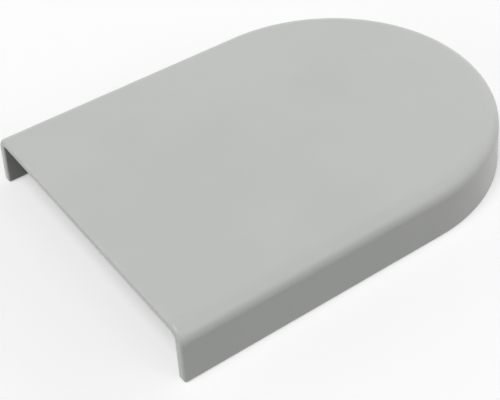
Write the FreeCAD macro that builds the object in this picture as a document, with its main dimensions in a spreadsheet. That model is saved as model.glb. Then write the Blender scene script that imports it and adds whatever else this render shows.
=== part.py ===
import FreeCAD, Part
import math
import os
import Sketcher
from FreeCAD import Vector

# D-shaped end cap, moulded as one piece. A flat plate carries a skirt down both straight sides and round
# the semicircular end. The square end and the underside are open.
# X runs from the open end to the round end, Y across and Z up. The origin is in the middle of the cap's
# length and width, on the plane of the rim that it stands on.

# The driving dimensions: name, value in millimetres (the angle in degrees) and what it measures.
SIZES = (
    ("width", 60.0, "across the outside of the rim, and the diameter of the round end"),
    ("straight_length", 49.8, "at the rim, from the open end to the start of the round end"),
    ("height", 9.8, "from the rim to the top of the plate"),
    ("wall", 1.8, "thickness of the skirt"),
    ("plate", 1.5, "thickness of the top plate"),
    ("draft_angle", 3.0, "lean of the skirt and the open end, which reach furthest out at the rim"),
    ("top_round", 2.8, "radius of the outer edge between plate and skirt"),
    ("end_round", 0.5, "radius of the outer edge round the open end"),
    ("lip_round", 0.4, "radius of the rim's edges and of the inner edge round the open end"),
)

# The most that each round may take of the thinner of wall and plate.
END_SHARE = 0.55
LIP_SHARE = 0.35

# Two lengths closer than this are the same, in millimetres.
TOLERANCE = 1e-4

# Half the width and the reach of the rough D that each sketch starts as, in millimetres.
ROUGH = 30.0


def make_sheet(doc):
    """The spreadsheet that holds the driving dimensions, one named row each."""
    sheet = doc.addObject("Spreadsheet::Sheet", "Sizes")
    for row, (name, value, meaning) in enumerate(SIZES, start=1):
        sheet.set(f"A{row}", name)
        sheet.set(f"B{row}", str(value))
        sheet.setAlias(f"B{row}", name)
        sheet.set(f"C{row}", meaning)
    doc.recompute()
    return sheet


def origin_feature(body, role):
    """One of the body's own origin planes or axes."""
    return next(feature for feature in body.Origin.OriginFeatures if feature.Role == role)


def d_sketch(body, name, inset):
    """A closed D on the rim's plane: two straight sides joined by a half circle.

    inset is an expression. The sides and the half circle lie that far inside the skirt's outer face, and
    the square end runs as far past the open end, so that a cut made with it leaves the end open.
    """
    sketch = body.newObject("Sketcher::SketchObject", name)
    sketch.AttachmentSupport = (origin_feature(body, "XY_Plane"), "")
    sketch.MapMode = "FlatFace"
    near_start = Vector(-ROUGH, -ROUGH, 0)
    near_turn = Vector(0, -ROUGH, 0)
    tip = Vector(ROUGH, 0, 0)
    far_turn = Vector(0, ROUGH, 0)
    far_start = Vector(-ROUGH, ROUGH, 0)
    near, turn, far, square = sketch.addGeometry(
        [
            Part.LineSegment(near_start, near_turn),
            Part.Arc(near_turn, tip, far_turn),
            Part.LineSegment(far_turn, far_start),
            Part.LineSegment(far_start, near_start),
        ],
        False,
    )
    start, end, centre = 1, 2, 3
    x_axis, origin = -1, (-1, 1)
    for constraint in (
        Sketcher.Constraint("Tangent", near, end, turn, start),
        Sketcher.Constraint("Tangent", turn, end, far, start),
        Sketcher.Constraint("Coincident", far, end, square, start),
        Sketcher.Constraint("Coincident", square, end, near, start),
        Sketcher.Constraint("Horizontal", near),
        Sketcher.Constraint("Horizontal", far),
        Sketcher.Constraint("Vertical", square),
        Sketcher.Constraint("PointOnObject", turn, centre, x_axis),
    ):
        sketch.addConstraint(constraint)
    for label, constraint, formula in (
        (
            "radius",
            Sketcher.Constraint("Radius", turn, ROUGH),
            f"Sizes.width / 2 - {inset}",
        ),
        (
            "side",
            Sketcher.Constraint("DistanceX", near, start, near, end, ROUGH),
            f"Sizes.straight_length + {inset}",
        ),
        (
            "reach",
            Sketcher.Constraint("DistanceX", near, start, *origin, ROUGH),
            f"(Sizes.straight_length + Sizes.width / 2) / 2 + {inset}",
        ),
    ):
        index = sketch.addConstraint(constraint)
        sketch.renameConstraint(index, label)
        sketch.setExpression(f"Constraints.{label}", formula)
    return sketch


def pad(body, name, sketch, length):
    """Material from the sketch upward."""
    feature = body.newObject("PartDesign::Pad", name)
    feature.Profile = sketch
    feature.setExpression("Length", length)
    body.Document.recompute()
    return feature


def pocket(body, name, sketch, depth):
    """A cut from the sketch upward, which has to take material away."""
    before = body.Shape.Volume
    feature = body.newObject("PartDesign::Pocket", name)
    feature.Profile = sketch
    feature.Reversed = True
    feature.setExpression("Length", depth)
    body.Document.recompute()
    if not body.Shape.Volume < before - TOLERANCE:
        raise RuntimeError(f"{name} cuts nothing")
    return feature


def lean(body, name, base, faces, inward):
    """Leans faces by the draft angle about the plane of the rim.

    inward says which side of the face its top moves to: True takes material away, False adds it.
    """
    feature = body.newObject("PartDesign::Draft", name)
    feature.Base = (base, faces)
    feature.NeutralPlane = (origin_feature(body, "XY_Plane"), [""])
    feature.PullDirection = (origin_feature(body, "Z_Axis"), [""])
    feature.Reversed = not inward
    feature.setExpression("Angle", "Sizes.draft_angle")
    body.Document.recompute()
    return feature


def round_edges(body, name, base, edges, radius):
    """A fillet on the named edges and on those that run on from them."""
    feature = body.newObject("PartDesign::Fillet", name)
    feature.Base = (base, edges)
    feature.setExpression("Radius", radius)
    body.Document.recompute()
    return feature


def same(first, second):
    """True where two lengths are equal."""
    return abs(first - second) < TOLERANCE


def edges_where(shape, test):
    """Names of the edges whose end points and middle point all pass the test."""
    names = []
    for number, edge in enumerate(shape.Edges, start=1):
        middle = edge.valueAt((edge.FirstParameter + edge.LastParameter) / 2)
        points = [vertex.Point for vertex in edge.Vertexes] + [middle]
        if all(test(point) for point in points):
            names.append(f"Edge{number}")
    return names


def upright_faces(shape, test):
    """Names of the faces that rise from the plane of the rim and whose middle passes the test."""
    names = []
    for number, face in enumerate(shape.Faces, start=1):
        box = face.BoundBox
        u_low, u_high, v_low, v_high = face.ParameterRange
        middle = face.valueAt((u_low + u_high) / 2, (v_low + v_high) / 2)
        if same(box.ZMin, 0) and not same(box.ZMax, 0) and test(middle):
            names.append(f"Face{number}")
    return names


def make_cap(doc, sheet):
    """The cap: a leaning D-shaped block, rounded, hollowed from below and softened at its edges."""
    body = doc.addObject("PartDesign::Body", "end_cap")
    body.Label = "end_cap"
    radius = sheet.width / 2
    open_end = -(sheet.straight_length + radius) / 2
    turn = open_end + sheet.straight_length
    ceiling = sheet.height - sheet.plate
    slope = math.tan(math.radians(sheet.draft_angle))

    def depth_inside(point):
        """How far a point lies inside the D that the rim's outer edge draws."""
        return radius - (abs(point.y) if point.x < turn else math.hypot(point.x - turn, point.y))

    def on_outside(point):
        return same(depth_inside(point), 0)

    def on_inside(point):
        return same(depth_inside(point), sheet.wall)

    def on_block_side(point):
        """On a side of the block before it leans."""
        return on_outside(point) or same(point.x, open_end)

    def on_open_end(point):
        """On the open end as it leans."""
        return same(point.x, open_end + point.z * slope)

    def on_top(point):
        return same(point.z, sheet.height)

    def on_ceiling(point):
        return same(point.z, ceiling)

    def on_rim(point):
        return same(point.z, 0)

    def round_the_skirt(shape, level):
        """The edges at one level that follow the skirt, without the one along the open end."""
        along_end = edges_where(shape, on_open_end)
        return [name for name in edges_where(shape, level) if name not in along_end]

    block = pad(body, "Block", d_sketch(body, "Outline", "0"), "Sizes.height")
    outer = upright_faces(block.Shape, on_block_side)
    feature = lean(body, "OuterLean", block, outer, inward=True)
    edges = round_the_skirt(feature.Shape, on_top)
    feature = round_edges(body, "TopRound", feature, edges, "Sizes.top_round")

    hollow = d_sketch(body, "HollowOutline", "Sizes.wall")
    feature = pocket(body, "Hollow", hollow, "Sizes.height - Sizes.plate")
    inner = upright_faces(feature.Shape, on_inside)
    feature = lean(body, "InnerLean", feature, inner, inward=False)
    edges = round_the_skirt(feature.Shape, on_ceiling)
    feature = round_edges(body, "InnerRound", feature, edges, "Sizes.top_round - Sizes.wall")

    thinner = "min(Sizes.wall; Sizes.plate)"
    edges = edges_where(feature.Shape, lambda point: on_open_end(point) and on_top(point))
    feature = round_edges(body, "EndRound", feature, edges, f"min(Sizes.end_round; {END_SHARE} * {thinner})")

    edges = edges_where(feature.Shape, on_rim)
    edges += edges_where(feature.Shape, lambda point: on_open_end(point) and on_ceiling(point))
    feature = round_edges(body, "LipRound", feature, edges, f"min(Sizes.lip_round; {LIP_SHARE} * {thinner})")
    return body


def check(doc, solid):
    """Stops where an object has failed or the cap isn't one sound solid."""
    for item in doc.Objects:
        if "Invalid" in item.State or "Error" in item.State:
            raise RuntimeError(f"{item.Name} has failed")
    if solid.isNull() or not solid.isValid() or len(solid.Solids) != 1:
        raise RuntimeError("the cap isn't one sound solid")


def main():
    """Builds the cap, checks it and writes its STEP file."""
    doc = FreeCAD.newDocument("EndCap")
    sheet = make_sheet(doc)
    cap = make_cap(doc, sheet)
    doc.recompute()
    check(doc, cap.Shape)
    os.makedirs("parts", exist_ok=True)
    cap.Shape.exportStep(f"parts/{cap.Label}.step")
    print(f"{cap.Label}: {cap.Shape.Volume:.0f} cubic mm")


main()
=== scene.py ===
import math

import bpy
from mathutils import Matrix, Vector


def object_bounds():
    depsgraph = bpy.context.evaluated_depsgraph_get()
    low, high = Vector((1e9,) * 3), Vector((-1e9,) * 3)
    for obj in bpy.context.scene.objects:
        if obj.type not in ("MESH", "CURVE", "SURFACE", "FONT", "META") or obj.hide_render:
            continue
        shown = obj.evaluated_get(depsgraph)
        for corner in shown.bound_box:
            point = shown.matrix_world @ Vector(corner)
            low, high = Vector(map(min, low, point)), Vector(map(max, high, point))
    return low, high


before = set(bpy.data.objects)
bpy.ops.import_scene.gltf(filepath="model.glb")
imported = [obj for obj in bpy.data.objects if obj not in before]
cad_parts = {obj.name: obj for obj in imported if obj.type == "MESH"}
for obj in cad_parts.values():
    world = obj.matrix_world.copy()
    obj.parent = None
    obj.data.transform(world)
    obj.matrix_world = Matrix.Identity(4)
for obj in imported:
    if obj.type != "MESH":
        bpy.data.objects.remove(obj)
cad_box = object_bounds()

# Looks for a D-shaped end cap, moulded as one piece in satin light grey plastic.
# X runs from the open end to the round end, Y across and Z up, in metres.

NODE = "end_cap"

# The camera, from the photograph: where it looks, from how far, and at which angles in degrees.
# Azimuth 0 looks along +Y. The roll turns the camera about its own line of sight. The lens and the
# sensor are in millimetres, and nothing nearer than CLIP_START metres is drawn.
AIM = Vector((-0.01228, -0.00769, 0.005))
DISTANCE = 0.18269
AZIMUTH = -32.13
ELEVATION = 41.16
ROLL = -4.70
LENS = 79.86
SENSOR = 36.0
CLIP_START = 0.01

# The lamps stand so far away that their light is even. Each has a name, an azimuth and an elevation as
# the camera's, its width across the sky in degrees, and its strength.
LAMPS = (
    ("key", -80, 69, 30, 1.85),
    ("front", 20, 35, 45, 0.68),
)

# The surround's own light, a broad soft wall on each side named: an azimuth and a strength. All of them
# are full up to one elevation and end at another, in degrees, and the focus gathers them round their
# azimuths.
WALLS = (
    ("right", 60, 0.6),
    ("right_far", 95, 3.4),
    ("far", 180, 0.9),
    ("left", -105, 2.7),
)
WALL_FULL = 15
WALL_TOP = 40
WALL_FOCUS = 3.0

# Colours in linear light.
PLASTIC = (0.505, 0.517, 0.500)
PLASTIC_DARK = (0.492, 0.507, 0.492)
PLASTIC_LIGHT = (0.517, 0.527, 0.508)
WHITE = (1.0, 1.0, 1.0)

# The plastic's patterns. Each is a noise with its waves per metre, its detail and its roughness, and a
# range says between which of the noise's values the pattern runs from one end to the other.
CLOUDS = (45.0, 3.0, 0.55)
CLOUD_RANGE = (0.35, 0.65)
FLECKS = (900.0, 2.0, 0.6)
FLECK_RANGE = (0.4, 0.6)
FLECK_SHARE = 0.25
SHEEN = (70.0, 3.0, 0.6)
SHEEN_RANGE = (0.3, 0.7)
GRAIN = (2600.0, 2.0, 0.6)
SWELL = (160.0, 2.0, 0.5)

# How rough the plastic is at its glossiest and at its dullest spot, and how strongly it refracts.
ROUGHNESS = (0.32, 0.40)
REFRACTION = 1.5

# The strength of each bump, and its height in metres.
GRAIN_BUMP = (0.25, 0.00003)
SWELL_BUMP = (0.3, 0.00006)

# What the floor gives back to the object, the share of plain white in it beside the object, its length
# and width in metres, and the two distances from its middle between which it turns to plain white.
FLOOR_RETURN = 0.1
FLOOR_WHITE = 0.4
FLOOR_SIZE = 4.0
FADE_START = 0.055
FADE_END = 0.16


def direction(azimuth, elevation):
    """The unit vector that points from the object towards an azimuth and an elevation."""
    turn = math.radians(azimuth)
    rise = math.radians(elevation)
    return Vector((math.sin(turn) * math.cos(rise), -math.cos(turn) * math.cos(rise), math.sin(rise)))


def link(thing):
    """Puts an object into the scene and gives it back."""
    bpy.context.scene.collection.objects.link(thing)
    return thing


def make_camera():
    """The photograph's camera, with no shift and no depth of field."""
    data = bpy.data.cameras.new("camera")
    data.lens = LENS
    data.sensor_width = SENSOR
    data.clip_start = CLIP_START
    camera = link(bpy.data.objects.new("camera", data))
    back = direction(AZIMUTH, ELEVATION)
    level = back.to_track_quat("Z", "Y").to_matrix().to_4x4()
    roll = Matrix.Rotation(math.radians(ROLL), 4, "Z")
    camera.matrix_world = Matrix.Translation(AIM + back * DISTANCE) @ level @ roll
    bpy.context.scene.camera = camera


class Nodes:
    """Short calls for building one material's or the world's node tree."""

    def __init__(self, tree):
        self.tree = tree
        tree.nodes.clear()

    def add(self, kind, **settings):
        """A new node of a kind, with the settings named."""
        node = self.tree.nodes.new(kind)
        for name, value in settings.items():
            setattr(node, name, value)
        return node

    def join(self, source, target):
        """Leads one node's output into another node's input."""
        self.tree.links.new(source, target)

    def math(self, operation, *values):
        """A Math node whose inputs are numbers or other nodes' sockets."""
        node = self.add("ShaderNodeMath", operation=operation)
        for socket, value in zip(node.inputs, values):
            if isinstance(value, bpy.types.NodeSocket):
                self.join(value, socket)
            else:
                socket.default_value = value
        return node.outputs[0]

    def noise(self, position, scale, detail, roughness):
        """Noise over the object, with scale in waves per metre."""
        node = self.add("ShaderNodeTexNoise")
        self.join(position, node.inputs["Vector"])
        node.inputs["Scale"].default_value = scale
        node.inputs["Detail"].default_value = detail
        node.inputs["Roughness"].default_value = roughness
        return node.outputs["Fac"]

    def between(self, value, low, high, first, last):
        """Turns values from low to high smoothly into first to last, and holds them at the ends."""
        node = self.add("ShaderNodeMapRange", interpolation_type="SMOOTHSTEP")
        self.join(value, node.inputs["Value"])
        node.inputs["From Min"].default_value = low
        node.inputs["From Max"].default_value = high
        node.inputs["To Min"].default_value = first
        node.inputs["To Max"].default_value = last
        return node.outputs["Result"]

    def blend(self, factor, first, second):
        """A colour between two colours, each a socket or linear values."""
        node = self.add("ShaderNodeMix", data_type="RGBA")
        self.join(factor, node.inputs["Factor"])
        for name, colour in (("A", first), ("B", second)):
            socket = next(item for item in node.inputs if item.name == name and item.type == "RGBA")
            if isinstance(colour, bpy.types.NodeSocket):
                self.join(colour, socket)
            else:
                socket.default_value = (*colour, 1.0)
        return next(item for item in node.outputs if item.type == "RGBA")

    def bump(self, height, strength, distance):
        """A Bump node that a pattern drives, with distance in metres."""
        node = self.add("ShaderNodeBump")
        node.inputs["Strength"].default_value = strength
        node.inputs["Distance"].default_value = distance
        self.join(height, node.inputs["Height"])
        return node


def moulded_plastic():
    """Satin moulded plastic: an even light grey with faint clouding, a fine grain and uneven gloss."""
    material = bpy.data.materials.new("moulding")
    material.use_nodes = True
    nodes = Nodes(material.node_tree)
    output = nodes.add("ShaderNodeOutputMaterial")
    surface = nodes.add("ShaderNodeBsdfPrincipled")
    nodes.join(surface.outputs["BSDF"], output.inputs["Surface"])
    position = nodes.add("ShaderNodeTexCoord").outputs["Object"]

    clouds = nodes.between(nodes.noise(position, *CLOUDS), *CLOUD_RANGE, 0.0, 1.0)
    flecks = nodes.between(nodes.noise(position, *FLECKS), *FLECK_RANGE, 0.0, 1.0)
    tone = nodes.blend(clouds, PLASTIC_DARK, PLASTIC_LIGHT)
    fleck_share = nodes.math("MULTIPLY", flecks, FLECK_SHARE)
    colour = nodes.blend(fleck_share, tone, PLASTIC)
    nodes.join(colour, surface.inputs["Base Color"])

    gloss = nodes.between(nodes.noise(position, *SHEEN), *SHEEN_RANGE, *ROUGHNESS)
    nodes.join(gloss, surface.inputs["Roughness"])
    surface.inputs["IOR"].default_value = REFRACTION

    grain = nodes.bump(nodes.noise(position, *GRAIN), *GRAIN_BUMP)
    swell = nodes.bump(nodes.noise(position, *SWELL), *SWELL_BUMP)
    nodes.join(grain.outputs["Normal"], swell.inputs["Normal"])
    nodes.join(swell.outputs["Normal"], surface.inputs["Normal"])
    return material


def seen_ray(nodes):
    """1 for what the camera, a mirror or glass sees, and 0 for the light that falls on the object."""
    path = nodes.add("ShaderNodeLightPath")
    seen = nodes.math("MAXIMUM", path.outputs["Is Camera Ray"], path.outputs["Is Glossy Ray"])
    return nodes.math("MAXIMUM", seen, path.outputs["Is Transmission Ray"])


def make_floor():
    """A pale floor that keeps the object's shadow and turns into plain white further out."""
    material = bpy.data.materials.new("floor")
    material.use_nodes = True
    nodes = Nodes(material.node_tree)
    output = nodes.add("ShaderNodeOutputMaterial")
    seen = seen_ray(nodes)

    lit = nodes.add("ShaderNodeBsdfDiffuse")
    shade = nodes.blend(seen, (FLOOR_RETURN,) * 3, WHITE)
    nodes.join(shade, lit.inputs["Color"])
    plain = nodes.add("ShaderNodeEmission")
    plain.inputs["Strength"].default_value = 1.0

    position = nodes.add("ShaderNodeTexCoord").outputs["Object"]
    length = nodes.add("ShaderNodeVectorMath", operation="LENGTH")
    nodes.join(position, length.inputs[0])
    far = nodes.between(length.outputs["Value"], FADE_START, FADE_END, FLOOR_WHITE, 1.0)
    mix = nodes.add("ShaderNodeMixShader")
    nodes.join(nodes.math("MULTIPLY", far, seen), mix.inputs["Fac"])
    nodes.join(lit.outputs["BSDF"], mix.inputs[1])
    nodes.join(plain.outputs["Emission"], mix.inputs[2])
    nodes.join(mix.outputs["Shader"], output.inputs["Surface"])

    half = FLOOR_SIZE / 2
    mesh = bpy.data.meshes.new("floor")
    corners = [(-half, -half, 0.0), (half, -half, 0.0), (half, half, 0.0), (-half, half, 0.0)]
    mesh.from_pydata(corners, [], [(0, 1, 2, 3)])
    mesh.materials.append(material)
    floor = link(bpy.data.objects.new("floor", mesh))
    floor.location.z = cad_box[0].z


def make_world():
    """A surround that is seen as plain white and lights the object as soft walls on its sides."""
    world = bpy.data.worlds.new("surround")
    world.use_nodes = True
    bpy.context.scene.world = world
    nodes = Nodes(world.node_tree)
    output = nodes.add("ShaderNodeOutputWorld")
    background = nodes.add("ShaderNodeBackground")
    background.inputs["Color"].default_value = (*WHITE, 1.0)

    towards = nodes.add("ShaderNodeTexCoord").outputs["Generated"]
    parts = nodes.add("ShaderNodeSeparateXYZ")
    nodes.join(towards, parts.inputs["Vector"])
    full = math.sin(math.radians(WALL_FULL))
    top = math.sin(math.radians(WALL_TOP))
    height = nodes.between(parts.outputs["Z"], full, top, 1.0, 0.0)
    walls = 0.0
    for name, azimuth, strength in WALLS:
        facing = nodes.add("ShaderNodeVectorMath", operation="DOT_PRODUCT", label=name)
        nodes.join(towards, facing.inputs[0])
        facing.inputs[1].default_value = direction(azimuth, 0)
        ahead = nodes.math("MAXIMUM", facing.outputs["Value"], 0.0)
        share = nodes.math("POWER", ahead, WALL_FOCUS)
        walls = nodes.math("ADD", walls, nodes.math("MULTIPLY", share, strength))

    seen = seen_ray(nodes)
    unseen = nodes.math("SUBTRACT", 1.0, seen)
    light = nodes.math("MULTIPLY", height, walls)
    total = nodes.math("ADD", seen, nodes.math("MULTIPLY", unseen, light))
    nodes.join(total, background.inputs["Strength"])
    nodes.join(background.outputs["Background"], output.inputs["Surface"])


def make_lamps():
    """The far lamps, each turned so that it shines on the object from its own side."""
    for name, azimuth, elevation, width, strength in LAMPS:
        data = bpy.data.lights.new(name, "SUN")
        data.energy = strength
        data.angle = math.radians(width)
        lamp = link(bpy.data.objects.new(name, data))
        lamp.rotation_euler = direction(azimuth, elevation).to_track_quat("Z", "Y").to_euler()


def dress_cap():
    """Gives the moulding its plastic."""
    plastic = moulded_plastic()
    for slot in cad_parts[NODE].material_slots:
        slot.material = plastic


bpy.context.scene.view_settings.view_transform = "Standard"
make_camera()
dress_cap()
make_floor()
make_world()
make_lamps()
